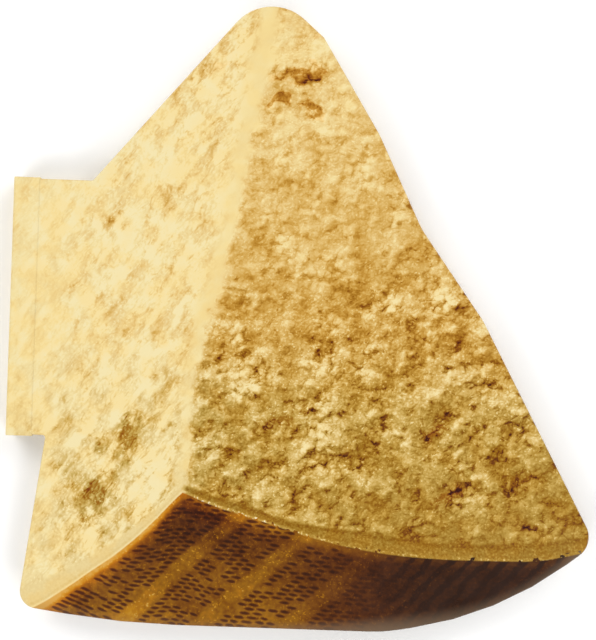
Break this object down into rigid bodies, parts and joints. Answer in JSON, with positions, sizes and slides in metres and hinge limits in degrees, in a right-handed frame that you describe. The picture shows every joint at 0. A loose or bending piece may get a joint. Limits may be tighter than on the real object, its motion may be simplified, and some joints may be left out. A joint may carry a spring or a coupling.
{
  "type": "die-cut cookbook",
  "caption": "Shut hardback cookbook, die-cut to the outline of a wedge of hard cheese, with its spine along a short straight tab.",
  "frame": {"origin": "centre of the cover's width and height, on the underside of the back board, where the shut book lies", "axes": "+X is right and +Y is up as the front cover is read, +Z comes out of the front cover"},
  "size_m": [0.2172, 0.2301, 0.014],
  "materials": {
    "printed_cover": "printed paper over board under a clear satin film, in the colours of a hard cheese and its rind",
    "leaves": "cut edges of coated white paper"
  },
  "bodies": {
    "root": {"front_board": "printed_cover", "back_board": "printed_cover", "spine": "printed_cover", "leaf_block": "leaves"}
  },
  "joints": []
}
